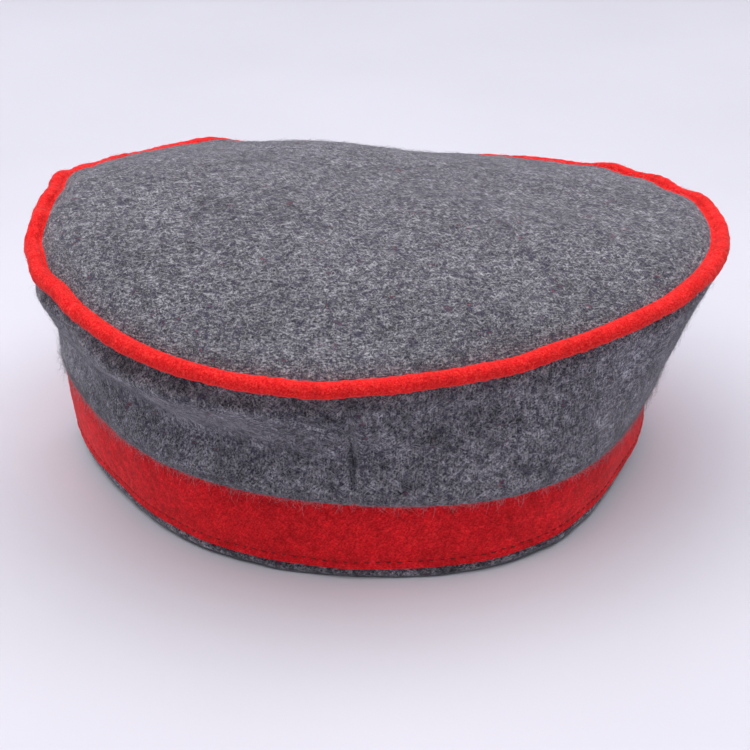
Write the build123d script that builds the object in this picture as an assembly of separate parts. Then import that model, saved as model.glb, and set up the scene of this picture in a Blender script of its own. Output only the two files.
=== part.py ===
import os
from math import asin, cos, hypot, pi, radians, sin

from build123d import *

# Soft peakless field cap. Millimetres, +Z up, the lower rim on z = 0, +X towards
# the wearer's forehead, the crown's centre on the Z axis.

# Head opening and the layers of the band, from the head outwards
head_long = 100.0        # half length of the head opening
head_slack = 12.5        # how much shorter the half width is than the half length
leather_t = 1.2
canvas_t = 1.0
wool_t = 1.8
red_t = 1.5
lining_t = 0.6
layer_gap = 0.1
bend_gap = 0.4          # clearance where cloth turns over an edge
band_h = 33.0            # grey band, rim to side seam
red_low = 4.5            # bare grey rim below the red band
sweat_low, sweat_high = 1.5, 41.0
canvas_low, canvas_high = 2.0, 31.0

# Crown
crown_spread = 13.0      # piping centre outside the red band
crown_z = 84.0           # mean height of the piping centre
crown_front = 3.0        # how much lower the forehead end lies
crown_near = 5.0         # how much higher the wearer's right side lies
crown_saddle = 8.0       # the two ends up, the two flanks down
dome_h = 18.0
top_t = 2.2
pad_gap = 0.6            # padding above the crown lining
lining_gap = 1.1         # crown lining below the side cloth where the dome lifts it
side_t = 2.0

# Piping
cord_r = 1.65
cover_t = 1.1
tail_len = 6.5

# Stitching
stitch_len = 2.1
stitch_t = 0.5
stitch_pitch = 3.3

label_deg = 9.0
label_h = 18.0
butt_deg = 0.1

sweat_in = 0.0
sweat_out = sweat_in + leather_t
canvas_in = sweat_out + 2 * layer_gap
canvas_out = canvas_in + canvas_t
wool_in = canvas_out + layer_gap
wool_out = wool_in + wool_t
red_in = wool_out + layer_gap
red_out = red_in + red_t
pipe_r = cord_r + layer_gap + cover_t
pipe_off = red_out + crown_spread
top_edge = pipe_off - pipe_r + 0.2
tail_in = pipe_off - pipe_r - tail_len
seam_half = cover_t + layer_gap
edge_rise = 0.15 * (dome_h + crown_saddle)   # how far the dome lifts within the seam
lining_drop = seam_half + side_t + 2 * bend_gap + edge_rise + lining_gap
pad_t = seam_half - canvas_t - 2 * layer_gap + lining_drop - lining_t - pad_gap

os.makedirs("parts", exist_ok=True)


def crown_height(x, y):
    """Height of the piping plane at a point of the crown, its rim being one unit out."""
    return (crown_z - crown_front * x - crown_near * y
            + crown_saddle * (x * x - y * y))


def dome(x, y):
    return crown_height(x, y) + dome_h * (1 - x * x - y * y)


def ring_point(off, z, t):
    return ((head_long + off) * cos(t), (head_long - head_slack + off) * sin(t), z)


def piping_z(t):
    return crown_height(cos(t), sin(t))


def both_faces(middle, thick):
    """The two long edges of a cloth section whose middle line is given."""
    left, right = [], []
    for i, (off, z) in enumerate(middle):
        before = middle[max(i - 1, 0)]
        after = middle[min(i + 1, len(middle) - 1)]
        run, rise = after[0] - before[0], after[1] - before[1]
        size = hypot(run, rise)
        left.append((off - rise / size * thick / 2, z + run / size * thick / 2))
        right.append((off + rise / size * thick / 2, z - run / size * thick / 2))
    return left, right


def cloth_face(middle, thick, t):
    left, right = both_faces(middle, thick)
    a = [Vector(*ring_point(off, z, t)) for off, z in left]
    b = [Vector(*ring_point(off, z, t)) for off, z in right]
    edges = [Edge.make_spline(a), Edge.make_line(a[-1], b[-1]),
             Edge.make_spline(b[::-1]), Edge.make_line(b[0], a[0])]
    return Face(Wire(edges))


def round_face(off, z, radius, t):
    at = Vector(*ring_point(off, z, t))
    plane = Plane(origin=at, x_dir=(cos(t), sin(t), 0), z_dir=(sin(t), -cos(t), 0))
    return Face(Wire.make_circle(radius, plane))


def round_the_cap(face_at, start, stop, step=12.0):
    """One solid lofted round the cap between two angles in degrees."""
    count = max(2, round((stop - start) / step))
    turns = [radians(start + (stop - start) * i / count) for i in range(count + 1)]
    return Solid.make_loft([face_at(t).outer_wire() for t in turns])


def oval(off, low, high):
    disc = Plane.XY.offset(low) * Ellipse(head_long + off, head_long - head_slack + off)
    return extrude(disc, high - low)


def hoop(inner, outer, low, high):
    return oval(outer, low, high) - oval(inner, low, high)


def crown_slab(edge, low, thick):
    """A disc of the crown that follows the dome, its underside that far above it."""
    span = 1.06
    steps = [span * (i / 3 - 1) for i in range(7)]
    rim_x, rim_y = head_long + pipe_off, head_long - head_slack + pipe_off
    grid = [[Vector(rim_x * x, rim_y * y, dome(x, y) + low) for y in steps] for x in steps]
    sheet = Face.make_surface_from_array_of_points(grid)
    slab = extrude(sheet, amount=thick, dir=(0, 0, 1))
    return slab & oval(edge, crown_z - 60, crown_z + 60)


def side_middle(t):
    """Middle line of the side cloth at one angle, from the band up to the crown seam."""
    fold = piping_z(t) - seam_half - side_t / 2 - bend_gap
    low = band_h + side_t / 2 + bend_gap
    rise = fold - low
    line = [(wool_in - 0.2, low), (red_in + 0.2, low), (red_out + 0.8, low + 0.8),
            (red_out + 3.4, low + 0.12 * rise), (red_out + 6.6, low + 0.38 * rise),
            (red_out + 9.4, low + 0.68 * rise), (red_out + 10.9, low + 0.88 * rise),
            (red_out + 10.4, fold - 1.0), (red_out + 8.6, fold), (tail_in + 0.6, fold)]
    return line


def side_panel(start, stop):
    return round_the_cap(lambda t: cloth_face(side_middle(t), side_t, t), start, stop)


def lining_face(t):
    """Lining hung inside the side cloth, from the band's top to the crown lining."""
    low = band_h + side_t + 2 * bend_gap
    top = piping_z(t) - lining_drop - 0.7
    rise = top - low
    back = red_out - side_t / 2
    line = [(red_in - 0.6, low + 1.0), (back + 1.6, low + 0.12 * rise),
            (back + 4.2, low + 0.30 * rise), (back + 6.6, low + 0.55 * rise),
            (back + 8.4, low + 0.80 * rise), (back + 8.6, top)]
    return cloth_face(line, lining_t, t)


def cover_face(t):
    """Folded strip round the cord, its doubled tail running into the crown seam."""
    z = piping_z(t)
    spread = asin(cover_t / pipe_r)
    turns = [pi + spread + (2 * pi - 2 * spread) * i / 2 for i in range(3)]
    low, far, high = [Vector(*ring_point(pipe_off + pipe_r * cos(a), z + pipe_r * sin(a), t))
                      for a in turns]
    tail_low = Vector(*ring_point(tail_in, z - cover_t, t))
    tail_high = Vector(*ring_point(tail_in, z + cover_t, t))
    edges = [Edge.make_three_point_arc(low, far, high), Edge.make_line(high, tail_high),
             Edge.make_line(tail_high, tail_low), Edge.make_line(tail_low, low)]
    return Face(Wire(edges))


def stitches(off, z, start, stop):
    """A row of thread dashes laid flat on an upright layer."""
    size_x, size_y = head_long + off, head_long - head_slack + off
    girth = pi * (size_x + size_y) * (stop - start) / 360
    count = int(girth / stitch_pitch)
    row = []
    for i in range(count):
        t = radians(start + (stop - start) * (i + 0.5) / count)
        along = Vector(-size_x * sin(t), size_y * cos(t), 0)
        plane = Plane(origin=ring_point(off, z, t), x_dir=along, z_dir=(0, 0, 1))
        row.append(plane * Box(stitch_len, stitch_t, stitch_t))
    return row


def save(solids, name):
    found = solids if isinstance(solids, list) else [solids]
    shape = Compound(children=[s for f in found for s in f.solids()])
    shape.label = name
    export_step(shape, f"parts/{name}.step")
    print(name, len(shape.solids()), round(shape.volume))


# Seams: forehead and nape on the X axis, one on each flank
rear = 180.0
save(crown_slab(top_edge, seam_half, top_t), "crown_top")
save(crown_slab(tail_in - 0.5, seam_half - canvas_t - layer_gap, canvas_t), "crown_canvas")
save(crown_slab(tail_in - 0.5, seam_half - canvas_t - 2 * layer_gap - pad_t, pad_t),
     "crown_padding")
save(crown_slab(pipe_off - 4.5, -lining_drop, lining_t), "lining_top")
bore = round_the_cap(lambda t: round_face(pipe_off, piping_z(t), cord_r + layer_gap, t),
                     rear, rear + 360)
save(round_the_cap(cover_face, rear + butt_deg, rear + 360 - butt_deg) - bore,
     "piping_cover")
save(round_the_cap(lambda t: round_face(pipe_off, piping_z(t), cord_r, t),
                   rear + butt_deg, rear + 360 - butt_deg), "piping_cord")

for name, start in {"right_front": -90, "left_front": 0, "left_rear": 90,
                    "right_rear": 180}.items():
    save(side_panel(start, start + 90), f"side_{name}")
for name, start in {"right": -180, "left": 0}.items():
    save(round_the_cap(lining_face, start + butt_deg, start + 180 - butt_deg),
         f"lining_{name}")

slit = Pos(-head_long - red_out, 0, band_h / 2) * Box(40, 0.3, 2 * band_h)
save(hoop(wool_in, wool_out, 0, band_h) - slit, "body_band")
save(hoop(red_in, red_out, red_low, band_h) - slit, "red_band")
save(hoop(canvas_in, canvas_out, canvas_low, canvas_high) - slit, "band_canvas")
save(hoop(sweat_in, sweat_out, sweat_low, sweat_high) - slit, "sweatband")

label = hoop(sweat_in - layer_gap - lining_t, sweat_in - layer_gap, 0, label_h)
wedge = Pos(-head_long / 2, 0, 0) * Box(head_long * 2, 2 * head_long * sin(radians(label_deg)),
                                        4 * label_h)
label = [s for s in (label & wedge).solids() if s.center().X < 0]
save([Pos(0, 0, sweat_high - label_h - 6) * s for s in label], "size_label")

save(stitches(red_out + stitch_t / 2 + 0.05, red_low + 3, rear + 1, rear + 359),
     "band_stitches")
save(stitches(sweat_in - stitch_t / 2 - 0.05, sweat_low + 3, rear + 1, rear + 359),
     "sweatband_stitches")
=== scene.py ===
import math
import bmesh
import bpy
import numpy as np
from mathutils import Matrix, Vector


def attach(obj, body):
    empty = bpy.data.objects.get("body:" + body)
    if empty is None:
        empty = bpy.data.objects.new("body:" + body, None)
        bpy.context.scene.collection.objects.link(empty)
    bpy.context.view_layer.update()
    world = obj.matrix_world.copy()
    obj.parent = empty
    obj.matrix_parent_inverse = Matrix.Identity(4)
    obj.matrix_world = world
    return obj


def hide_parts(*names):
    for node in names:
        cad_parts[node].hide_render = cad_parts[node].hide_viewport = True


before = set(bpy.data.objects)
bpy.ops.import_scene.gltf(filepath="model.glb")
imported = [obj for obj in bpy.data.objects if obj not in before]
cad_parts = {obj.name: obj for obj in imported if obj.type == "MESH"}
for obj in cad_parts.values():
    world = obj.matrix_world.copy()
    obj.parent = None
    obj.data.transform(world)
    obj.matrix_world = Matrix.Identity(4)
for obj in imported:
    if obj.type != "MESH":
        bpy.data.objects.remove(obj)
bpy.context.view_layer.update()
print("frame loaded")

mm = 0.001
full = 2 * math.pi


def smoothStep(x, low, high):
    t = np.clip((x - low) / (high - low), 0, 1)
    return t * t * (3 - 2 * t)


def waveNoise(points, seed, longest, shortest, count=24):
    # plane waves in random directions, about -1 to 1
    rng = np.random.default_rng(seed)
    total = np.zeros(points.shape[:-1])
    for i in range(count):
        way = rng.normal(size=3)
        way /= np.linalg.norm(way)
        length = longest * (shortest / longest) ** rng.random()
        total += np.sin(points @ way * full / length + rng.random() * full)
    return total / math.sqrt(count / 2) * 0.6


def ringNoise(angle, seed, fewest, most, count=12):
    # waves that close up round the cap
    rng = np.random.default_rng(seed)
    total = np.zeros_like(angle)
    for i in range(count):
        total += np.cos(rng.integers(fewest, most + 1) * angle + rng.random() * full)
    return total / math.sqrt(count / 2) * 0.6


def bump(x, centre, width):
    return np.exp(-(((x - centre) / width) ** 2))


def turnBump(angle, centre, width):
    # a bump round one place on the cap: centre in degrees, width in radians
    return bump(np.angle(np.exp(1j * (angle - math.radians(centre)))), 0, width)


def outward(angle):
    return np.stack([np.cos(angle), np.sin(angle), 0 * angle], -1)


# the cap's own lines, in millimetres; angle 0 is the forehead end, -90 the near flank

band = {
    "centre": (-0.8, 0.1),
    "halfLong": 105.5,     # outside of the red cloth
    "halfWide": 92.6,
    "meanRadius": 99.5,
    "bulge": (-0.021, 0.029, 0.027),   # the near flank's uneven outline
    "endLift": 1.4,        # half of what the rim's two ends stand off the table
    "liftFades": 80,       # height by which that has gone
    "height": 33.0,
    "flare": 2.2,          # the rim's two ends pull in
    "redLow": 4.4,         # bare grey hem below the red
    "stitchLine": 7.4,
}


def bandPoint(angle, off, z):
    # off is measured outwards from the red cloth's face
    near = 1 - smoothStep(np.sin(angle), 0.0, 0.7)
    threes, fours, fives = band["bulge"]
    bulge = near * (threes * np.cos(3 * angle) + fours * np.cos(4 * angle)
                    + fives * np.sin(5 * angle))
    off = off - band["flare"] * np.clip(1 - z / band["height"], 0, 1) * np.cos(angle) ** 2
    x = band["centre"][0] + (band["halfLong"] * (1 + bulge) + off) * np.cos(angle)
    y = band["centre"][1] + (band["halfWide"] * (1 + bulge) + off) * np.sin(angle)
    lift = (band["endLift"] * (1 + np.cos(2 * angle))
            * np.clip(1 - z / band["liftFades"], 0, 1))
    return np.stack(np.broadcast_arrays(x, y, z + lift), -1)


crown = {
    "halfLong": 117.3,
    "halfWide": 105.5,
    "meanRadius": 112,
    "shift": -0.4,         # towards the near flank
    "egg": (-0.021, 0.049),
    "seamHeight": 83.8,
    # the seam's rise and fall once, twice and three times round
    "tilt": ((-3.6, -4.9), (9.6, 1.1), (-1.5, 0.3)),
    "domeRise": 17.0,
    "lean": (0.48, 0.16),  # the top is fuller towards the nape and the near flank
    "domeCurve": 0.86,
    "inset": 2.9,          # the top's edge inside the piping's middle
    "edgeLift": 0.3,
    "rollRise": 3.0,       # how quickly the top swells beside its piping
    "rollWidth": 4.2,
    "slowWave": 0.9,
    "quickWave": 0.16,
    "thick": 2.0,
}


def crownPlan(angle, off):
    egg = 1 + crown["egg"][0] * np.sin(3 * angle) + crown["egg"][1] * np.cos(3 * angle)
    x = (crown["halfLong"] * egg + off) * np.cos(angle)
    y = crown["shift"] + (crown["halfWide"] * egg + off) * np.sin(angle)
    return x, y


def seamTilt(angle, reach):
    # the crown seam above its mean height, carried in over the top
    return sum(reach ** n * (even * np.cos(n * angle) + odd * np.sin(n * angle))
               for n, (even, odd) in enumerate(crown["tilt"], 1))


piping = {
    "radius": 2.7,
    "wall": 1.0,
    "tail": 6.0,
    "seamHalf": 1.12,      # half the folded tail
    "tailGap": 0.06,
    "mouth": 22,           # degrees, half the opening where the tail starts
    "cordRadius": 1.6,
    "quickWave": 0.40,
    "slowWave": 0.45,
    "nape": (194, 0.36),   # the wavy stretch: degrees, width in radians
    "napeWave": (1.0, 1.1),
    "napeTuck": 1.3,
    "corner": (205, 0.17),
    "cornerOut": 2.6,
    "cornerDrop": 1.2,
    # lifts of its line: degrees, width in radians, height
    "lifts": ((152, 0.22, -1.2), (121, 0.30, 5.0), (86, 0.33, -4.5), (50, 0.22, -0.5),
              (66, 0.12, 1.6)),
}


def pipingLine(angle):
    wave = (piping["quickWave"] * ringNoise(angle, 3, 14, 34)
            + piping["slowWave"] * ringNoise(angle, 4, 6, 13))
    nape = turnBump(angle, *piping["nape"])
    corner = turnBump(angle, *piping["corner"])
    waveOut, waveUp = piping["napeWave"]
    x, y = crownPlan(angle, 0.5 * wave + nape * (waveOut * ringNoise(angle, 7, 18, 34)
                                                 - piping["napeTuck"])
                     + piping["cornerOut"] * corner)
    z = (crown["seamHeight"] + seamTilt(angle, 1.0) + wave
         + waveUp * nape * ringNoise(angle, 8, 18, 34) - piping["cornerDrop"] * corner)
    for centre, width, height in piping["lifts"]:
        z = z + height * turnBump(angle, centre, width)
    return x, y, z


def crownPoint(reach, angle, drop=0.0):
    # reach runs from 0 at the middle of the top to 1 at its seam
    px, py, pz = pipingLine(angle)
    cx, cy = crownPlan(angle, 0.0)
    near = smoothStep(reach, 0.86, 1.0)
    x = reach * (cx + near * (px - cx) - crown["inset"] * np.cos(angle))
    y = reach * (cy + near * (py - cy) - crown["inset"] * np.sin(angle))
    inward = (1 - reach) * crown["meanRadius"]
    lean = crown["lean"][0] * np.cos(angle) + crown["lean"][1] * np.sin(angle)
    z = (crown["seamHeight"] + seamTilt(angle, reach) + crown["edgeLift"]
         + near * (pz - crown["seamHeight"] - seamTilt(angle, 1.0))
         + crown["domeRise"] * (1 - reach * lean)
         * np.clip(1 - reach ** 2, 0, 1) ** crown["domeCurve"]
         + crown["rollRise"] * (1 - np.exp(-inward / crown["rollWidth"])))
    flat = np.stack([x, y, 0 * x], -1)
    loose = smoothStep(1 - reach, 0.0, 0.10)
    z = z + loose * (crown["slowWave"] * waveNoise(flat, 21, 95, 45)
                     + crown["quickWave"] * waveNoise(flat, 22, 26, 9))
    return np.stack([x, y, z - drop], -1)


side = {
    "thick": 1.8,
    "overhang": 2.5,       # how far it bags out over the red band
    "foldHeight": 31.0,
    "foldTilt": (-3.3, -1.2),
    "foldLift": (-8, 0.45, 2.0),   # degrees, width in radians, height
    "flush": (182, 0.45),  # where it lies close over the red band
    "slack": (236, 0.45),  # where it sags into a hollow
    "topDrop": 1.7,        # its upper edge under and inside the piping's middle
    "topInset": 4.0,
    "seamAngle": -92.3,
    "seamSlant": 1.6,
    "seamRadius": 108.0,
    "grooveDepth": 1.7,
    "grooveWidth": 1.3,
    "lipRise": 0.45,       # the cloth beside a seam stands up a little
    "lipPlace": 3.4,
    "lipWidth": 1.6,
    # how far out the cloth lies, from 0 above the fold to 1 below the piping, at nine
    # even heights, by angle
    "profile": [
        (0, (0, 0.14, 0.30, 0.47, 0.65, 0.84, 1.05, 1.20, 1)),
        (60, (0, 0.14, 0.29, 0.43, 0.57, 0.72, 0.90, 1.05, 1)),
        (120, (0, 0.14, 0.29, 0.43, 0.57, 0.72, 0.90, 1.05, 1)),
        (150, (0, 0.04, 0.10, 0.21, 0.42, 0.66, 0.95, 1.12, 1)),
        (180, (0, -0.06, -0.07, 0.07, 0.50, 0.98, 1.32, 1.42, 1.05)),
        (198, (0, -0.06, -0.07, 0.10, 0.52, 0.98, 1.36, 1.50, 1.05)),
        (205, (0.02, -0.06, -0.06, 0.18, 0.60, 0.98, 1.30, 1.46, 1.05)),
        (212, (0.05, -0.04, -0.07, 0.14, 0.62, 0.98, 1.16, 1.28, 1)),
        (219, (0.08, 0.00, -0.08, 0.08, 0.52, 0.96, 1.06, 1.02, 1)),
        (227, (0.08, 0.02, -0.08, 0.02, 0.34, 0.84, 1.10, 0.94, 1)),
        (245, (0.08, 0.02, -0.06, 0.03, 0.30, 0.78, 1.10, 0.96, 1)),
        (262, (0.06, 0.06, 0.06, 0.16, 0.40, 0.74, 0.99, 0.94, 1)),
        (282, (0.03, 0.10, 0.19, 0.34, 0.55, 0.78, 0.92, 0.94, 1)),
        (300, (0, 0.12, 0.27, 0.44, 0.62, 0.80, 0.92, 0.95, 1)),
        (330, (0, 0.14, 0.30, 0.46, 0.62, 0.80, 0.98, 1.06, 1)),
        (360, (0, 0.14, 0.30, 0.47, 0.65, 0.84, 1.05, 1.20, 1)),
    ],
}


def sideShare(angle, rise):
    # the profile at one angle, as a smooth curve through its nine shares
    table = side["profile"]
    stations = np.array([row[0] for row in table], float)
    shares = np.array([row[1] for row in table], float)
    degrees = np.degrees(angle) % 360
    i = np.clip(np.searchsorted(stations, degrees, side="right") - 1, 0, len(stations) - 2)
    t = smoothStep(degrees, stations[i], stations[i + 1])[..., None]
    row = shares[i] * (1 - t) + shares[i + 1] * t
    last = shares.shape[1] - 1
    k = np.clip((rise * last).astype(int), 0, last - 1)
    u = rise * last - k
    p0, p1, p2, p3 = [np.take_along_axis(row, np.clip(k + n, 0, last)[..., None], -1)[..., 0]
                      for n in (-1, 0, 1, 2)]
    return 0.5 * (2 * p1 + (p2 - p0) * u + (2 * p0 - 5 * p1 + 4 * p2 - p3) * u ** 2
                  + (3 * p1 - p0 - 3 * p2 + p3) * u ** 3)


def sidePoint(angle, rise, deep=0.0):
    # rise runs from 0 at the fold over the red band to 1 under the piping
    liftAt, liftWidth, lift = side["foldLift"]
    foldHeight = (side["foldHeight"] + side["foldTilt"][1] * np.sin(angle)
                  + side["foldTilt"][0] * np.cos(angle)
                  + lift * turnBump(angle, liftAt, liftWidth))
    flush = turnBump(angle, *side["flush"])
    slack = turnBump(angle, *side["slack"])
    low = bandPoint(angle, side["overhang"] - 1.5 * flush, foldHeight)
    px, py, pz = pipingLine(angle)
    high = (np.stack(np.broadcast_arrays(px, py, pz - side["topDrop"]), -1)
            - side["topInset"] * outward(angle))
    point = low + (high - low) * sideShare(angle, rise)[..., None]
    point[..., 2] = low[..., 2] + (high[..., 2] - low[..., 2]) * rise
    free = np.clip(np.sin(np.pi * np.clip(rise, 0, 1)), 0, 1)
    tuck = 1 - 0.6 * flush
    # the fold's roll, the tuck and swell under the piping, the hollow, then loose waves
    sag = (0.8 * (1 - flush) * bump(rise, 0.06, 0.07)
           - 2.4 * tuck * bump(rise, 0.985, 0.055) + 0.7 * tuck * bump(rise, 0.83, 0.07)
           + slack * (0.9 * bump(rise, 0.76, 0.08) - 2.5 * bump(rise, 0.36, 0.12))
           + 0.8 * free * waveNoise(point, 31, 70, 24)
           + 0.13 * waveNoise(point, 32, 14, 6))
    return point + outward(angle) * (sag - deep)[..., None]


def seamAt(quarter, rise):
    return np.radians(side["seamAngle"] + 90 * quarter + side["seamSlant"] * (0.5 - rise))


stitch = {"pitch": 3.3, "length": 2.1, "radius": 0.19, "sides": 8, "stations": 9,
          "arch": 0.10,    # how far its middle stands off the cloth
          "dive": 0.50}    # and how far its ends go in from there


def redSurface(angle, z, off=0.0):
    # pulled in along its row of stitches
    girth = angle * band["meanRadius"]
    pinch = (bump(z, band["stitchLine"], 0.75)
             * (0.30 + 0.14 * np.cos(girth * full / stitch["pitch"])))
    point = bandPoint(angle, 0 * z, z)
    push = (0.38 * waveNoise(point, 41, 60, 22) + 0.07 * waveNoise(point, 42, 9, 4)
            - pinch + 0.18 * bump(z, band["redLow"], 1.0))
    return point + outward(angle) * (push + off)[..., None]


# mesh makers

def newPiece(name, points, faces):
    mesh = bpy.data.meshes.new(name)
    mesh.from_pydata((np.asarray(points, float).reshape(-1, 3) * mm).tolist(), [], faces)
    mesh.polygons.foreach_set("use_smooth", np.ones(len(mesh.polygons), bool))
    made = bpy.data.objects.new(name, mesh)
    bpy.context.scene.collection.objects.link(made)
    return made


def makeMesh(name, points, faces):
    made = newPiece(name, points, faces)
    work = bmesh.new()
    work.from_mesh(made.data)
    bmesh.ops.recalc_face_normals(work, faces=work.faces)
    work.to_mesh(made.data)
    work.free()
    return made


def gridFaces(rows, columns, closedRows=False, closedColumns=True):
    faces = []
    for i in range(rows if closedRows else rows - 1):
        a, b = i * columns, ((i + 1) % rows) * columns
        for j in range(columns if closedColumns else columns - 1):
            k = (j + 1) % columns
            faces.append((a + j, b + j, b + k, a + k))
    return faces


def makeStrip(name, points):
    # a closed section carried along, with both ends capped
    rows, columns = points.shape[:2]
    ends = np.stack([points[0].mean(0), points[-1].mean(0)])
    faces = gridFaces(rows, columns)
    first = rows * columns
    for j in range(columns):
        k = (j + 1) % columns
        faces.append((first, j, k))
        faces.append((first + 1, first - columns + k, first - columns + j))
    return makeMesh(name, np.concatenate([points.reshape(-1, 3), ends]), faces)


def makeDisc(name, points):
    # points[angle, place]: from the middle of the top, over the edge, to the middle below
    rows, columns = points.shape[:2]
    poles = np.stack([points[:, 0].mean(0), points[:, -1].mean(0)])
    faces = gridFaces(rows, columns, closedRows=True, closedColumns=False)
    top = rows * columns
    for i in range(rows):
        n = (i + 1) % rows
        faces.append((top, i * columns, n * columns))
        faces.append((top + 1, n * columns + columns - 1, i * columns + columns - 1))
    return makeMesh(name, np.concatenate([points.reshape(-1, 3), poles]), faces)


def settle(piece, slotName, material, *nodes):
    piece.data.materials.append(material)
    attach(piece, "root")
    if nodes:
        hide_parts(*nodes)
    return piece


# cloth and leather finishes

def startMaterial(name, roughness, sheen, sheenTint, specular):
    material = bpy.data.materials.new(name)
    material.use_nodes = True
    tree = material.node_tree
    shader = tree.nodes["Principled BSDF"]
    shader.inputs["Roughness"].default_value = roughness
    shader.inputs["Sheen Weight"].default_value = sheen
    shader.inputs["Sheen Roughness"].default_value = 0.45
    shader.inputs["Sheen Tint"].default_value = (*sheenTint, 1)
    shader.inputs["Specular IOR Level"].default_value = specular
    place = tree.nodes.new("ShaderNodeTexCoord")
    return material, tree, shader, place.outputs["Object"]


def addNode(tree, kind, settings=None, **sockets):
    node = tree.nodes.new(kind)
    for key, value in (settings or {}).items():
        setattr(node, key, value)
    for key, value in sockets.items():
        socket = node.inputs[key.replace("_", " ")]
        if isinstance(value, bpy.types.NodeSocket):
            tree.links.new(value, socket)
        else:
            socket.default_value = value
    return node


def mathAt(tree, operation, a, b):
    node = tree.nodes.new("ShaderNodeMath")
    node.operation = operation
    for socket, value in zip(node.inputs, (a, b)):
        if isinstance(value, bpy.types.NodeSocket):
            tree.links.new(value, socket)
        else:
            socket.default_value = value
    return node.outputs[0]


def noiseAt(tree, place, scale, detail=2.0, roughness=0.5, distortion=0.0):
    node = addNode(tree, "ShaderNodeTexNoise", Vector=place, Scale=scale, Detail=detail,
                   Roughness=roughness, Distortion=distortion)
    return node.outputs["Fac"]


def rampAt(tree, value, stops):
    node = tree.nodes.new("ShaderNodeValToRGB")
    tree.links.new(value, node.inputs["Fac"])
    line = node.color_ramp.elements
    while len(line) < len(stops):
        line.new(0.5)
    for element, (at, colour) in zip(line, stops):
        element.position = at
        element.color = (*colour, 1)
    return node.outputs["Color"]


topExcess = 0.085     # how much the brightest of the sets lies above their mean


def fibreSum(tree, place, length, width, warp, lays):
    # sets of long thin specks lying across each other
    bend = addNode(tree, "ShaderNodeTexNoise", Vector=place, Scale=warp[0], Detail=2.0)
    shift = addNode(tree, "ShaderNodeVectorMath", {"operation": "MULTIPLY_ADD"})
    tree.links.new(bend.outputs["Color"], shift.inputs[0])
    shift.inputs[1].default_value = (warp[1],) * 3
    tree.links.new(place, shift.inputs[2])
    total, top = None, None
    for turn in lays:
        lay = addNode(tree, "ShaderNodeMapping", {"vector_type": "TEXTURE"},
                      Vector=shift.outputs[0], Rotation=turn,
                      Scale=(length * mm, width * mm, width * mm))
        speck = noiseAt(tree, lay.outputs[0], 1.0, 1.5, 0.55)
        total = speck if total is None else mathAt(tree, "ADD", total, speck)
        top = speck if top is None else mathAt(tree, "MAXIMUM", top, speck)
    mean = mathAt(tree, "MULTIPLY", total, 0.5 / len(lays))
    bright = mathAt(tree, "MULTIPLY", mathAt(tree, "SUBTRACT", top, topExcess), 0.5)
    return mathAt(tree, "ADD", mean, bright)


def blend(tree, under, over, share):
    mix = addNode(tree, "ShaderNodeMix", {"data_type": "RGBA"})
    tree.links.new(share, mix.inputs["Factor"])
    tree.links.new(under, mix.inputs["A"])
    mix.inputs["B"].default_value = (*over, 1)
    return mix.outputs["Result"]


feltLook = {"roughness": 0.92, "sheen": 0.22, "specular": 0.12, "spread": 0.135,
            "threeLays": ((0.25, 0.35, 0.5), (1.1, -0.5, 1.9), (-0.7, 1.0, 2.9))}


def feltCloth(name, dark, middle, light, length=1.5, width=0.26, contrast=1.0, mottle=0.22,
              sheenTint=(0.8, 0.8, 0.85), relief=1.0, flecks=None, lays=None, deep=None):
    material, tree, shader, place = startMaterial(
        name, feltLook["roughness"], feltLook["sheen"], sheenTint, feltLook["specular"])
    fibres = fibreSum(tree, place, length, width, (260.0, 0.0011), lays or feltLook["threeLays"])
    grains = noiseAt(tree, place, 1100.0, 2.0, 0.55)
    blots = noiseAt(tree, place, 300.0, 2.5, 0.55, 0.5)
    clouds = noiseAt(tree, place, 42.0, 2.0)
    patches = noiseAt(tree, place, 120.0, 2.0, 0.55, 0.4)
    mixed = mathAt(tree, "ADD", mathAt(tree, "MULTIPLY", fibres, 0.8),
                   mathAt(tree, "MULTIPLY", grains, 0.2))
    spread = feltLook["spread"] / contrast
    out = rampAt(tree, mixed, [(0.5 - spread, dark), (0.5, middle), (0.5 + spread, light)])
    shade = None
    for field, strength in ((blots, 2.4), (clouds, 1.2), (patches, 1.1)):
        part = mathAt(tree, "MULTIPLY", mathAt(tree, "SUBTRACT", field, 0.5), strength * mottle)
        shade = part if shade is None else mathAt(tree, "ADD", shade, part)
    toned = addNode(tree, "ShaderNodeVectorMath", {"operation": "SCALE"})
    tree.links.new(out, toned.inputs[0])
    tree.links.new(mathAt(tree, "ADD", shade, 1.0), toned.inputs["Scale"])
    out = toned.outputs[0]
    if deep:
        tufts = noiseAt(tree, place, 420.0, 3.0, 0.6, 0.8)
        out = blend(tree, out, deep, rampAt(tree, tufts, [(0.50, (0, 0, 0)), (0.68, (0.8,) * 3)]))
    if flecks:
        spots = noiseAt(tree, place, 420.0, 1.0, 0.5, 1.2)
        out = blend(tree, out, flecks, rampAt(tree, spots, [(0.745, (0, 0, 0)), (0.80, (0.7,) * 3)]))
    tree.links.new(out, shader.inputs["Base Color"])
    coarse = addNode(tree, "ShaderNodeBump", Height=blots, Strength=0.35 * relief,
                     Distance=0.0009)
    fine = addNode(tree, "ShaderNodeBump", Height=mixed, Strength=0.55 * relief,
                   Distance=0.0007, Normal=coarse.outputs[0])
    tree.links.new(fine.outputs[0], shader.inputs["Normal"])
    return material


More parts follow.
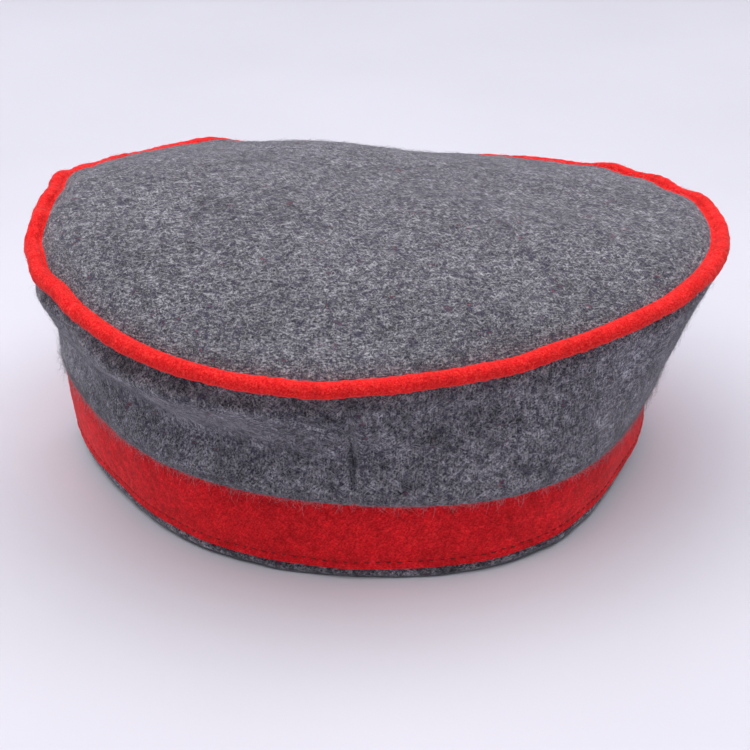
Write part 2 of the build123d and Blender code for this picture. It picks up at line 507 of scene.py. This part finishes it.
def threadCloth(name, dark, light, pitch, relief=1.0, roughness=0.85):
    # plain weave for lining, canvas and tape; pitch in millimetres
    material, tree, shader, place = startMaterial(name, roughness, 0.1, (1, 1, 1), 0.2)
    total = None
    for turn in ((0, 0, 0), (0, 0, math.pi / 2)):
        lay = addNode(tree, "ShaderNodeMapping", Vector=place, Rotation=turn)
        lines = addNode(tree, "ShaderNodeTexWave", {"wave_profile": "SIN"},
                        Vector=lay.outputs[0], Scale=1 / (pitch * mm * 3.18), Distortion=1.2,
                        Detail=2.0, Detail_Scale=3.0)
        total = lines.outputs["Fac"] if total is None else mathAt(
            tree, "MULTIPLY", total, lines.outputs["Fac"])
    rub = noiseAt(tree, place, 900.0, 3.0, 0.6)
    mixed = mathAt(tree, "ADD", mathAt(tree, "MULTIPLY", total, 0.6),
                  mathAt(tree, "MULTIPLY", rub, 0.4))
    tree.links.new(rampAt(tree, mixed, [(0.15, dark), (0.75, light)]),
                   shader.inputs["Base Color"])
    fine = addNode(tree, "ShaderNodeBump", Height=mixed, Strength=0.5 * relief,
                   Distance=0.0004)
    tree.links.new(fine.outputs[0], shader.inputs["Normal"])
    return material


def sweatLeather(name):
    material, tree, shader, place = startMaterial(name, 0.48, 0.05, (1, 0.9, 0.8), 0.45)
    cells = addNode(tree, "ShaderNodeTexVoronoi", {"feature": "DISTANCE_TO_EDGE"},
                    Vector=place, Scale=950.0)
    worn = noiseAt(tree, place, 60.0, 4.0, 0.6)
    tree.links.new(rampAt(tree, worn, [(0.3, (0.13, 0.055, 0.024)), (0.7, (0.26, 0.125, 0.06))]),
                   shader.inputs["Base Color"])
    tree.links.new(rampAt(tree, worn, [(0.3, (0.42,) * 3), (0.75, (0.6,) * 3)]),
                   shader.inputs["Roughness"])
    fine = addNode(tree, "ShaderNodeBump", Height=cells.outputs["Distance"], Strength=0.35,
                   Distance=0.0003)
    tree.links.new(fine.outputs[0], shader.inputs["Normal"])
    return material


# the side's middle tone is the top's middle tone painted lighter, painted light on the upright side;
# the other tones are the wool's own
heather = {"dark": (0.026, 0.025, 0.038), "middle": (0.120, 0.115, 0.134),
           "sideMiddlePaintedLighter": (0.146, 0.140, 0.163), "light": (0.36, 0.355, 0.385),
           "deep": (0.040, 0.038, 0.066), "fleck": (0.30, 0.05, 0.06)}
crownWool = feltCloth("heatheredWoolTop", heather["dark"], heather["middle"], heather["light"],
                      length=3.8, width=0.42, contrast=1.45, mottle=0.55, relief=0.75,
                      flecks=heather["fleck"], deep=heather["deep"],
                      lays=((0, 0, 0.25), (0, 0, 1.0), (0, 0, 1.9), (0, 0, 2.7)))
# the side and the grey band under it: the top's wool with a lighter middle tone, painted light where
# the lamp above reaches less
sideWoolPaintedLighter = feltCloth("heatheredWoolSidePaintedLighter", heather["dark"], heather["sideMiddlePaintedLighter"],
                     heather["light"], length=3.8, width=0.42, contrast=1.7, mottle=0.92,
                     relief=0.95, flecks=heather["fleck"], deep=heather["deep"],
                     lays=((0, 0.55, 0), (0, -0.75, 0.2), (0.3, 1.4, 1.3), (0, 0.1, 0.9)))
redWool = feltCloth("redFelt", (0.46, 0.006, 0.010), (0.71, 0.011, 0.018), (0.86, 0.033, 0.038),
                    length=2.4, width=0.5, contrast=1.1, mottle=0.40,
                    sheenTint=(1.0, 0.35, 0.35), relief=0.7)
# the piping is the band's red cloth painted brighter, painted light on the piping, which faces the
# lamp above
redPiping = feltCloth("redPipingClothPaintedLight", (0.60, 0.006, 0.010), (0.84, 0.016, 0.017),
                      (0.94, 0.055, 0.045), length=1.6, width=0.4, contrast=1.3, mottle=0.24,
                      sheenTint=(1.0, 0.35, 0.3), relief=0.9)
greyFuzz = feltCloth("looseGreyFibre", (0.16, 0.155, 0.18), (0.34, 0.33, 0.37),
                     (0.60, 0.59, 0.63), mottle=0.1)
redFuzz = feltCloth("looseRedFibre", (0.55, 0.01, 0.015), (0.80, 0.03, 0.03), (0.95, 0.12, 0.10),
                    mottle=0.1, sheenTint=(1.0, 0.4, 0.4))
darkThread = threadCloth("darkThread", (0.11, 0.008, 0.010), (0.27, 0.018, 0.022), 0.25)
lightThread = threadCloth("lightThread", (0.34, 0.27, 0.18), (0.58, 0.50, 0.38), 0.25)
liningCloth = threadCloth("liningTwill", (0.055, 0.048, 0.040), (0.17, 0.15, 0.125), 0.42)
canvasCloth = threadCloth("linenCanvas", (0.26, 0.20, 0.13), (0.52, 0.44, 0.32), 0.8)
cottonWadding = feltCloth("cottonWadding", (0.40, 0.37, 0.32), (0.56, 0.53, 0.48),
                          (0.70, 0.68, 0.64), length=4.0, width=0.5)
cordCotton = threadCloth("cottonCord", (0.42, 0.37, 0.29), (0.66, 0.60, 0.50), 0.6)
labelTape = threadCloth("wovenTape", (0.42, 0.38, 0.31), (0.68, 0.64, 0.56), 0.35)
leather = sweatLeather("sweatLeather")
print("finishes ready")


# crown: wool top, canvas, wadding and lining

crownLayers = {     # depths of both faces under the top's own face, and how far each reaches
    "canvas": (2.25, 3.2, 0.91),
    "wadding": (3.4, 10.5, 0.91),
    "lining": (11.2, 11.8, 0.945),
}


def crownDisc(name, outerDrop, innerDrop, widest, rings, turns):
    # both faces from the middle out, with more rings towards the edge
    reach = widest * (1 - (1 - np.linspace(0.02, 1, rings)) ** 1.35)
    angle = np.linspace(0, full, turns, endpoint=False)
    r, a = np.meshgrid(reach, angle)
    upper = crownPoint(r, a, outerDrop)
    lower = crownPoint(r, a, innerDrop)[:, ::-1]
    middle = (upper[:, -1:] + lower[:, :1]) / 2 + 0.35 * outward(a[:, -1:])
    return makeDisc(name, np.concatenate([upper, middle, lower], 1))


top = settle(crownDisc("crownTop", 0.0, crown["thick"], 1.0, 96, 420), "grey_wool_crown",
             crownWool, "crown_top")
canvas = settle(crownDisc("crownCanvas", *crownLayers["canvas"], 30, 144), "canvas",
                canvasCloth, "crown_canvas")
wadding = settle(crownDisc("crownWadding", *crownLayers["wadding"], 30, 144), "wadding",
                 cottonWadding, "crown_padding")
crownLining = settle(crownDisc("crownLining", *crownLayers["lining"], 40, 180), "lining_cloth",
                     liningCloth, "lining_top")
print("crown made")


# piping: a folded strip round its cord, tails in the seam

def pipingRing(angle):
    turns = angle[:, None]
    lump = 1 + 0.045 * ringNoise(turns, 5, 60, 190, 24) + 0.045 * ringNoise(turns, 6, 14, 40)
    mouth = math.radians(piping["mouth"])
    roundCord = np.linspace(math.pi + mouth, 3 * math.pi - mouth, 26)[None, :]
    outer, inner = piping["radius"] * lump, piping["radius"] - piping["wall"]
    back = roundCord[:, ::-1] + 0 * turns
    one = np.ones_like(turns)
    tail = (piping["radius"] + piping["tail"]) * one
    half = tail / 2 + one
    seam, gap = piping["seamHalf"] * one, piping["tailGap"] * one
    offs = np.concatenate([-tail, -half, np.cos(roundCord) * outer, -half, -tail,
                           -tail, -half, np.cos(back) * inner * 0.985, -half, -tail], 1)
    rises = np.concatenate([-seam, -seam, np.sin(roundCord) * outer, seam, seam,
                            gap, gap, np.sin(back) * inner, -gap, -gap], 1)
    return offs, rises


def alongPiping(angle, offs, rises):
    x, y, z = pipingLine(angle)
    centre = np.stack([x, y, z], -1)[:, None, :]
    way = outward(angle)[:, None, :] * offs[..., None]
    return centre + way + np.stack([0 * rises, 0 * rises, rises], -1)


lap = math.radians(0.1)
angle = np.linspace(math.pi + lap, 3 * math.pi - lap, 1300)
cover = settle(makeStrip("pipingCover", alongPiping(angle, *pipingRing(angle))), "red_piping",
               redPiping, "piping_cover")
thin = angle[::3]
turn = np.linspace(0, full, 14, endpoint=False)[None, :] + 0 * thin[:, None]
settle(makeStrip("pipingCord", alongPiping(thin, np.cos(turn) * piping["cordRadius"],
                                           np.sin(turn) * piping["cordRadius"])),
       "cord", cordCotton, "piping_cord")
print("piping made")


# side: four quarters seamed at the forehead, nape and flanks

def sideQuarter(name, quarter, node):
    s = np.linspace(0, 1, 170)
    t = 0.35 * s + 0.65 * (0.5 - 0.5 * np.cos(np.pi * s))   # closer together at the seams
    down = np.linspace(1, 0, 56)
    fold = np.linspace(0, math.pi, 8)[1:-1]
    up = np.linspace(0, 1, 20)
    rise = np.concatenate([down, 0 * fold, up])
    deep = np.concatenate([0 * down, side["thick"] / 2 * (1 - np.cos(fold)),
                           side["thick"] + 0 * up])
    dip = np.concatenate([0 * down, side["thick"] / 2 * np.sin(fold), 0 * up])
    tt, rr = np.meshgrid(t, rise, indexing="ij")
    apart = 0.0004      # the quarters stop just short of each other
    start, stop = seamAt(quarter, rr) + apart, seamAt(quarter + 1, rr) - apart
    a = start + (stop - start) * tt
    point = sidePoint(a, rr, deep[None, :] + 0 * a)
    for edge in (start, stop):
        gap = (a - edge) * side["seamRadius"]
        inward = side["grooveDepth"] * bump(gap, 0, side["grooveWidth"])
        lips = side["lipRise"] * bump(np.abs(gap), side["lipPlace"], side["lipWidth"])
        keep = np.sin(np.pi * np.clip(rr, 0.04, 0.97)) ** 0.4
        point -= outward(a) * ((inward - lips) * keep)[..., None]
    point[..., 2] -= dip[None, :]
    piece = settle(makeStrip(name, point), "grey_wool_side", sideWoolPaintedLighter, node)
    return piece


for name, quarter, node in (("sideRightFront", 0, "side_right_front"),
                            ("sideLeftFront", 1, "side_left_front"),
                            ("sideLeftRear", 2, "side_left_rear"),
                            ("sideRightRear", 3, "side_right_rear")):
    sideQuarter(name, quarter, node)
print("side made")


# band: red cloth over the grey band, canvas and sweatband inside

buttGap = 0.0012     # the strips' ends meet at the nape, a hair apart
stripTurns = np.linspace(math.pi + buttGap, 3 * math.pi - buttGap, 1500)


def upright(turns, offs, heights, shape):
    a, off = np.meshgrid(turns, offs, indexing="ij")
    z = np.broadcast_to(np.asarray(heights)[None, :], a.shape)
    return shape(a, z, off)


red = {"thick": 1.5, "edge": 0.6}
heights = np.linspace(band["height"], band["redLow"] + red["edge"], 40)
edgeTurn = np.linspace(0, math.pi, 7)
sectionZ = np.concatenate([heights, band["redLow"] + red["edge"] * (1 - np.sin(edgeTurn)),
                           heights[::-4]])
sectionOff = np.concatenate([0 * heights, -red["thick"] / 2 * (1 - np.cos(edgeTurn)),
                             -red["thick"] + 0 * heights[::-4]])
redPiece = settle(makeStrip("redBand", upright(stripTurns, sectionOff, sectionZ, redSurface)),
                  "red_wool", redWool, "red_band")


hem = {"outer": -1.65, "inner": -3.45, "edge": 1.2, "roll": 0.85, "uneven": 8}


def hemSurface(a, z, off):
    # thicker along its turned lower edge, which waves a little
    point = bandPoint(a, 0 * z, z)
    roll = hem["roll"] * bump(z, 1.9, 1.8) * np.where(off > -2.6, 1, -0.2)
    low = np.clip(1 - z / hem["uneven"], 0, 1)
    push = roll + low * (0.22 * waveNoise(point, 51, 26, 8) + 0.06 * waveNoise(point, 52, 5, 3))
    point = point + outward(a) * (push + off)[..., None]
    point[..., 2] += low * 0.22 * (1 + ringNoise(a, 8, 10, 40))
    return point


hemRows = np.concatenate([np.linspace(band["height"], hem["uneven"], 8),
                          np.linspace(7.4, 1.6, 16)])
hemTurn = np.linspace(0, math.pi, 9)
hemHalf = (hem["outer"] - hem["inner"]) / 2
sectionZ = np.concatenate([hemRows, hem["edge"] * (1 - np.sin(hemTurn)), hemRows[::-2]])
sectionOff = np.concatenate([hem["outer"] + 0 * hemRows,
                             hem["outer"] - hemHalf * (1 - np.cos(hemTurn)),
                             hem["inner"] + 0 * hemRows[::-2]])
hemPiece = settle(makeStrip("greyBand", upright(stripTurns[::2], sectionOff, sectionZ,
                                                hemSurface)),
                  "grey_wool_side", sideWoolPaintedLighter, "body_band")


def thinStrip(name, surface, turns, strip):
    # both faces and the rounded edges between them
    low, high, outer, thick = (strip[key] for key in ("low", "high", "outer", "thick"))
    z = np.linspace(high, low, strip["rows"])
    ends = np.linspace(0, math.pi, 5)[1:-1] if strip["edge"] else np.zeros(0)
    sectionZ = np.concatenate([z, low - strip["edge"] * np.sin(ends), z[::-1],
                               high + strip["edge"] * np.sin(ends)])
    sectionOff = np.concatenate([outer + 0 * z, outer - thick / 2 * (1 - np.cos(ends)),
                                 outer - thick + 0 * z, outer - thick / 2 * (1 + np.cos(ends))])
    return makeStrip(name, upright(turns, sectionOff, sectionZ, surface))


stiffener = {"low": 2.6, "high": 31.0, "outer": -3.6, "thick": 0.9, "edge": 0.45, "rows": 20}
stiffPiece = settle(thinStrip("bandCanvas", lambda a, z, off: bandPoint(a, off, z),
                              stripTurns[::3], stiffener),
                    "canvas", canvasCloth, "band_canvas")

sweat = {"low": 1.9, "high": 40.5, "outer": -4.75, "thick": 1.1, "edge": 0.5, "rows": 44,
         "stitchLine": 4.6, "lean": 1.6, "curl": 0.5, "puckers": 60}


def sweatSurface(a, z, off):
    point = bandPoint(a, 0 * z, z)
    lean = -sweat["lean"] * smoothStep(z, 14, 41) - sweat["curl"] * bump(z, 41, 2.5)
    puckers = 0.22 * bump(z, 6, 4) * np.cos(a * sweat["puckers"])
    push = lean + puckers + 0.30 * waveNoise(point, 63, 50, 18) * smoothStep(z, 6, 30)
    return point + outward(a) * (push + off)[..., None]


sweatPiece = settle(thinStrip("sweatStrip", sweatSurface, stripTurns[::2], sweat),
                    "sweat_leather", leather, "sweatband")

lining = {"rows": 34, "columns": 260, "outer": 2.6, "inner": 3.15, "pleats": 46}


def liningHalf(name, start, node):
    up = np.linspace(0.02, 0.985, lining["rows"])
    rise = np.concatenate([up[::-1], up])
    deep = np.concatenate([lining["outer"] + 0 * up, lining["inner"] + 0 * up])
    turns = np.radians(np.linspace(start + 0.15, start + 179.85, lining["columns"]))
    a, r = np.meshgrid(turns, rise, indexing="ij")
    inside = sidePoint(a, r, deep[None, :] + 0 * a)
    tuck = smoothStep(0.25 - r, 0, 0.25)
    inside -= outward(a) * (2.2 * tuck + 4.0 * smoothStep(r, 0.75, 1.0))[..., None]
    pleat = 0.35 * np.sin(a * lining["pleats"]) * smoothStep(r, 0.5, 1.0)
    inside += outward(a) * pleat[..., None]
    inside[..., 2] += 3.2 * tuck - 4.2 * smoothStep(r, 0.7, 1.0)
    piece = settle(makeStrip(name, inside), "lining_cloth", liningCloth, node)


liningHalf("liningRight", -180, "lining_right")
liningHalf("liningLeft", 0, "lining_left")


# blank tape label inside, at the nape

tape = {"low": 16, "high": 34, "outer": -5.92, "thick": 0.48, "edge": 0, "rows": 24}
tapeTurns = np.radians(np.linspace(171.5, 188.5, 60))
label = settle(thinStrip("sizeLabel", sweatSurface, tapeTurns, tape), "label_cloth", labelTape,
               "size_label")
print("band made")


# hand-set rows of stitches, one short thread each

def stitchRow(name, surface, height, off, out, slotName, material, node, seed):
    rng = np.random.default_rng(seed)
    count = int(full * (band["meanRadius"] + off) / stitch["pitch"])
    along = np.linspace(-0.5, 0.5, stitch["stations"])
    rows, sides = len(along), stitch["sides"]
    ring = np.linspace(0, full, sides, endpoint=False)
    points, faces = [], []
    for i in range(count):
        size = stitch["length"] * (1 + 0.12 * rng.normal())
        slope = 0.18 * rng.normal()
        a = np.pi + full * (i + 0.5) / count + along * size / band["meanRadius"]
        z = height + slope * along + 0.12 * rng.normal()
        arch = stitch["arch"] - stitch["dive"] * (2 * along) ** 4
        line = surface(a, z, off + out * arch)[:, None, :]
        thick = (stitch["radius"] * (1 - 0.45 * (2 * along) ** 4))[:, None]
        wide = outward(a)[:, None, :] * (np.cos(ring) * thick)[..., None]
        tall = np.array([0, 0, 1.0]) * (np.sin(ring) * thick)[..., None]
        points.append(line + wide + tall)
        first = i * rows * sides
        for r in range(first, first + (rows - 1) * sides, sides):
            for k in range(sides):
                n = (k + 1) % sides
                faces.append((r + k, r + sides + k, r + sides + n, r + n))
        last = first + (rows - 1) * sides
        faces.append(tuple(range(first, first + sides))[::-1])
        faces.append(tuple(range(last, last + sides)))
    return settle(makeMesh(name, np.concatenate(points), faces), slotName, material, node)


stitchRow("bandStitches", redSurface, band["stitchLine"], 0.0, 1, "dark_thread", darkThread,
          "band_stitches", 71)
stitchRow("sweatbandStitches", sweatSurface, sweat["stitchLine"],
          sweat["outer"] - sweat["thick"], -1, "light_thread", lightThread,
          "sweatband_stitches", 72)
print("stitches made")


# loose fibres standing off the cloth

naps = {     # how many, longest, radius, and how far they stand off
    "crown": {"count": 12000, "longest": 3.6, "radius": 0.045, "lift": 0.45},
    "side": {"count": 15000, "longest": 3.9, "radius": 0.050, "lift": 0.55},
    "fold": {"count": 6000, "longest": 4.8, "radius": 0.042, "lift": 0.9},
    "piping": {"count": 6500, "longest": 1.7, "radius": 0.030, "lift": 0.5},
    "red": {"count": 4000, "longest": 1.8, "radius": 0.028, "lift": 0.4},
}


def napOn(name, surface, u, v, seed, nap, slotName, material, onSide=False):
    # thin curved hairs that start just under the cloth and lie every way along it
    rng = np.random.default_rng(seed)
    count, step = len(u), 1e-3
    root = surface(u, v)
    du, dv = surface(u + step, v) - root, surface(u, v + step) - root
    du /= np.linalg.norm(du, axis=1, keepdims=True)
    dv -= (dv * du).sum(1, keepdims=True) * du
    dv /= np.linalg.norm(dv, axis=1, keepdims=True)
    normal = np.cross(du, dv)
    away = root * [1, 1, 0] if onSide else root * [0.4, 0.4, 0] + [0, 0, 60.0]
    normal *= np.sign((normal * away).sum(1))[:, None]
    turn = rng.random(count) * full
    lay = du * np.cos(turn)[:, None] + dv * np.sin(turn)[:, None]
    across = np.cross(normal, lay)
    size = nap["longest"] * (0.35 + 0.65 * rng.random(count)) ** 1.5
    stand = nap["lift"] * rng.random(count) ** 2
    curl = rng.normal(size=count) * 0.5
    rings, corners = 4, 3
    points = np.zeros((count, rings, corners, 3))
    for i, s in enumerate(np.linspace(0, 1, rings)):
        rise = size * stand * (1.4 * s - 0.5 * s * s) + 0.22 * np.sin(np.pi * s) - 0.15
        centre = (root + lay * (size * s)[:, None] + across * (curl * size * s * s)[:, None]
                  + normal * rise[:, None])
        thick = nap["radius"] * (1 - 0.7 * s)
        for k in range(corners):
            c, sn = math.cos(k * full / corners), math.sin(k * full / corners)
            points[:, i, k] = centre + (across * c + normal * sn) * thick
    faces, per = [], rings * corners
    for b in range(0, count * per, per):
        for r in range(b, b + per - corners, corners):
            for k in range(corners):
                n = (k + 1) % corners
                faces.append((r + k, r + corners + k, r + corners + n, r + n))
        faces.append((b + 2, b + 1, b))
        faces.append((b + per - 3, b + per - 2, b + per - 1))
    return settle(newPiece(name, points, faces), slotName, material)


def sideSkin(rise, a):
    return sidePoint(a, rise)


def pipingSkin(a, turn):
    x, y, z = pipingLine(a)
    r = piping["radius"]
    return (np.stack([x, y, z], -1) + outward(a) * (np.cos(turn) * r)[:, None]
            + np.stack([0 * x, 0 * x, np.sin(turn) * r], -1))


rng = np.random.default_rng(9)
for half, hand in enumerate(("Left", "Right")):
    n = naps["crown"]["count"] // 2
    napOn("crownNap" + hand, crownPoint, np.sqrt(rng.random(n)) * 0.985 + 0.005,
          (half + rng.random(n)) * math.pi, 81 + 10 * half, naps["crown"], "grey_wool_crown",
          greyFuzz)
    n = naps["side"]["count"] // 2
    napOn("sideNap" + hand, sideSkin, rng.random(n) ** 0.9 * 0.93,
          (half + rng.random(n)) * math.pi, 82 + 10 * half, naps["side"], "grey_wool_side",
          greyFuzz, onSide=True)
n = naps["fold"]["count"]
napOn("foldNap", sideSkin, rng.random(n) * 0.025, rng.random(n) * full, 83, naps["fold"],
      "grey_wool_side", greyFuzz, onSide=True)
n = naps["piping"]["count"]
napOn("pipingNap", pipingSkin, rng.random(n) * full, rng.random(n) * 3.6 - 0.9, 84,
      naps["piping"], "red_piping", redFuzz)
n = naps["red"]["count"]
napOn("redNap", redSurface, rng.random(n) * full, band["redLow"] + 0.5 + rng.random(n) * 25, 85,
      naps["red"], "red_wool", redFuzz, onSide=True)
print("fibres made")


# table, light and camera

floorLook = {"colour": (0.692, 0.685, 0.758), "size": 6000.0, "farShade": 0.86,
             "ground": (0.715, 0.695, 0.785), "groundStarts": 0.55, "groundWhole": 0.95}


def seenRay(tree):
    path = tree.nodes.new("ShaderNodeLightPath").outputs
    seen = mathAt(tree, "MAXIMUM", path["Is Camera Ray"], path["Is Glossy Ray"])
    return mathAt(tree, "MAXIMUM", seen, path["Is Transmission Ray"])


def stageCloth():
    material = bpy.data.materials.new("paleTableCloth")
    material.use_nodes = True
    tree = material.node_tree
    shader = tree.nodes["Principled BSDF"]
    shader.inputs["Roughness"].default_value = 0.9
    shader.inputs["Specular IOR Level"].default_value = 0.1
    place = tree.nodes.new("ShaderNodeTexCoord").outputs["Object"]
    soft = noiseAt(tree, place, 5.0, 2.0)
    low, high = [tuple(c * k for c in floorLook["colour"]) for k in (0.97, 1.03)]
    depth = addNode(tree, "ShaderNodeSeparateXYZ", Vector=place).outputs["Y"]
    fade = rampAt(tree, mathAt(tree, "ADD", depth, 0.1),
                  [(0.1, (1, 1, 1)), (0.75, (floorLook["farShade"],) * 3)])
    base = addNode(tree, "ShaderNodeVectorMath", {"operation": "MULTIPLY"})
    tree.links.new(rampAt(tree, soft, [(0.3, low), (0.7, high)]), base.inputs[0])
    tree.links.new(fade, base.inputs[1])
    tree.links.new(base.outputs[0], shader.inputs["Base Color"])
    weave = noiseAt(tree, place, 900.0, 2.0)
    creases = noiseAt(tree, place, 9.0, 2.0, 0.45, 0.4)
    big = addNode(tree, "ShaderNodeBump", Height=creases, Strength=0.25, Distance=0.02)
    fine = addNode(tree, "ShaderNodeBump", Height=weave, Strength=0.08, Distance=0.0004,
                   Normal=big.outputs[0])
    tree.links.new(fine.outputs[0], shader.inputs["Normal"])
    # far from the cap the cloth shows as an even pale ground, whatever light reaches it
    far = addNode(tree, "ShaderNodeVectorMath", {"operation": "LENGTH"})
    tree.links.new(place, far.inputs[0])
    away = rampAt(tree, far.outputs["Value"], [(floorLook["groundStarts"], (0, 0, 0)),
                                               (floorLook["groundWhole"], (1, 1, 1))])
    plain = addNode(tree, "ShaderNodeEmission", Color=(*floorLook["ground"], 1), Strength=1.0)
    mix = addNode(tree, "ShaderNodeMixShader")
    tree.links.new(mathAt(tree, "MULTIPLY", away, seenRay(tree)), mix.inputs[0])
    tree.links.new(shader.outputs[0], mix.inputs[1])
    tree.links.new(plain.outputs[0], mix.inputs[2])
    tree.links.new(mix.outputs[0], tree.nodes["Material Output"].inputs["Surface"])
    return material


def makeStage():
    half, back = floorLook["size"] / 2, 900.0
    xs = np.linspace(-half, half, 40)
    line = [(-half, 0.0), (-600, 0.0), (0, 0.0), (400, 0.0), (650, 0.0), (back - 100, 22.0),
            (back, 90.0), (back + 60, 300.0), (back + 80, 1500.0)]
    points = np.array([[(x, y, z) for y, z in line] for x in xs])
    rows, columns = points.shape[:2]
    faces = gridFaces(rows, columns, closedColumns=False)
    cloth = makeMesh("tableCloth", points, faces)
    cloth.data.materials.append(stageCloth())


makeStage()

room = {"sky": (0.93, 0.94, 1.0), "strength": 0.32}

world = bpy.data.worlds.new("paleRoom")
bpy.context.scene.world = world
world.use_nodes = True
air = world.node_tree
sky = air.nodes["Background"]
sky.inputs["Color"].default_value = (*room["sky"], 1)
sky.inputs["Strength"].default_value = room["strength"]
wall = addNode(air, "ShaderNodeBackground", Color=(*floorLook["ground"], 1), Strength=1.0)
mix = addNode(air, "ShaderNodeMixShader")
air.links.new(seenRay(air), mix.inputs[0])
air.links.new(sky.outputs[0], mix.inputs[1])
air.links.new(wall.outputs[0], mix.inputs[2])
air.links.new(mix.outputs[0], air.nodes["World Output"].inputs["Surface"])

lamp = {"place": (-0.12, 0.35, 1.7), "aim": (0, 0, 0.05), "size": 3.6, "watts": 73.0,
        "colour": (1.0, 0.99, 0.985)}
disc = bpy.data.lights.new("openSky", "AREA")
disc.shape = "DISK"
disc.size = lamp["size"]
disc.energy = lamp["watts"]
disc.color = lamp["colour"]
made = bpy.data.objects.new("openSky", disc)
made.location = lamp["place"]
way = Vector(lamp["aim"]) - Vector(lamp["place"])
made.rotation_euler = way.to_track_quat("-Z", "Y").to_euler()
bpy.context.scene.collection.objects.link(made)

view = {"place": (0.00277, -0.5284, 0.3239), "pitch": 29.45, "lens": 78.36}
camera = bpy.data.cameras.new("standardView")
camera.sensor_width = 36
camera.lens = view["lens"]
camera.clip_start = 0.01
made = bpy.data.objects.new("standardView", camera)
made.location = view["place"]
made.rotation_euler = (math.radians(90 - view["pitch"]), 0, 0)
bpy.context.scene.collection.objects.link(made)
bpy.context.scene.camera = made

bpy.context.scene.view_settings.view_transform = "Standard"
